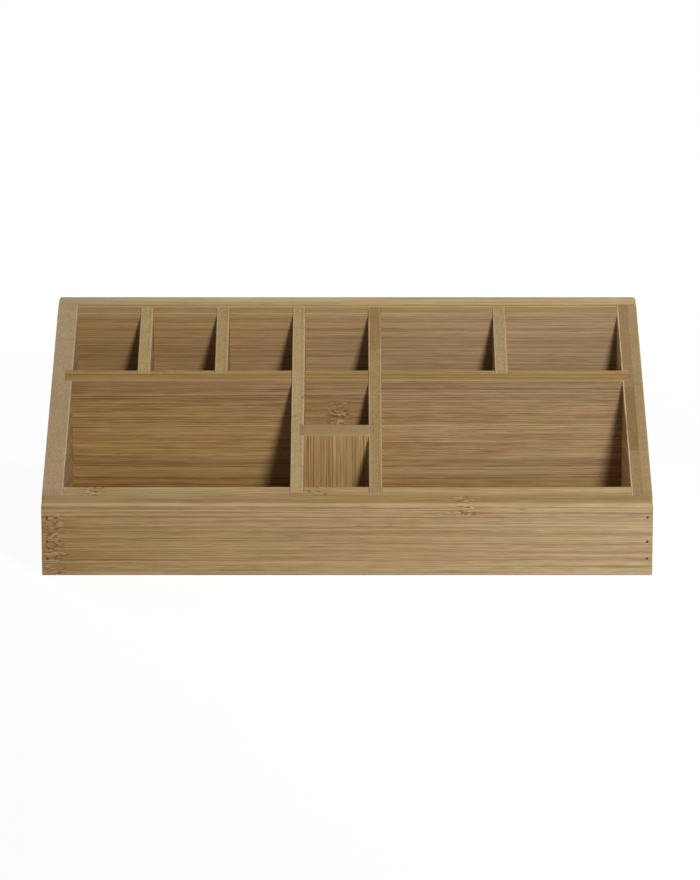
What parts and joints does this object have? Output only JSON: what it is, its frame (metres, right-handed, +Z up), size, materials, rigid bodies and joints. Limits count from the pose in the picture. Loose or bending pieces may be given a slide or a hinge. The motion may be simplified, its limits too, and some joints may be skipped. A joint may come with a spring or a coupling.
{
  "type": "desk organizer",
  "caption": "Open bamboo desk organizer with a sloping top, a tall back, a low front and upright compartments of several sizes.",
  "frame": {"origin": "centre of the footprint, on the surface that the organizer stands on", "axes": "+X to the right as seen from the front, +Y from the low front board to the tall back board, +Z up"},
  "size_m": [0.32, 0.128, 0.1298],
  "materials": {
    "bamboo_board": "laminated caramel bamboo, sanded, with a thin satin lacquer",
    "bamboo_divider": "laminated caramel bamboo, thinner strip, sanded, with a thin satin lacquer",
    "bamboo_panel": "thin bamboo panel, sanded",
    "brad_steel": "dull dark wire nail head"
  },
  "bodies": {
    "root": {"base_panel": "bamboo_panel", "front_board": "bamboo_board", "back_board": "bamboo_board", "left_side_board": "bamboo_board", "right_side_board": "bamboo_board", "cross_divider": "bamboo_divider", "left_long_divider": "bamboo_divider", "right_long_divider": "bamboo_divider", "rear_divider_1": "bamboo_divider", "rear_divider_2": "bamboo_divider", "rear_divider_3": "bamboo_divider", "centre_divider": "bamboo_divider", "front_left_brads": "brad_steel", "front_right_brads": "brad_steel", "rear_left_brads": "brad_steel", "rear_right_brads": "brad_steel"}
  },
  "joints": []
}
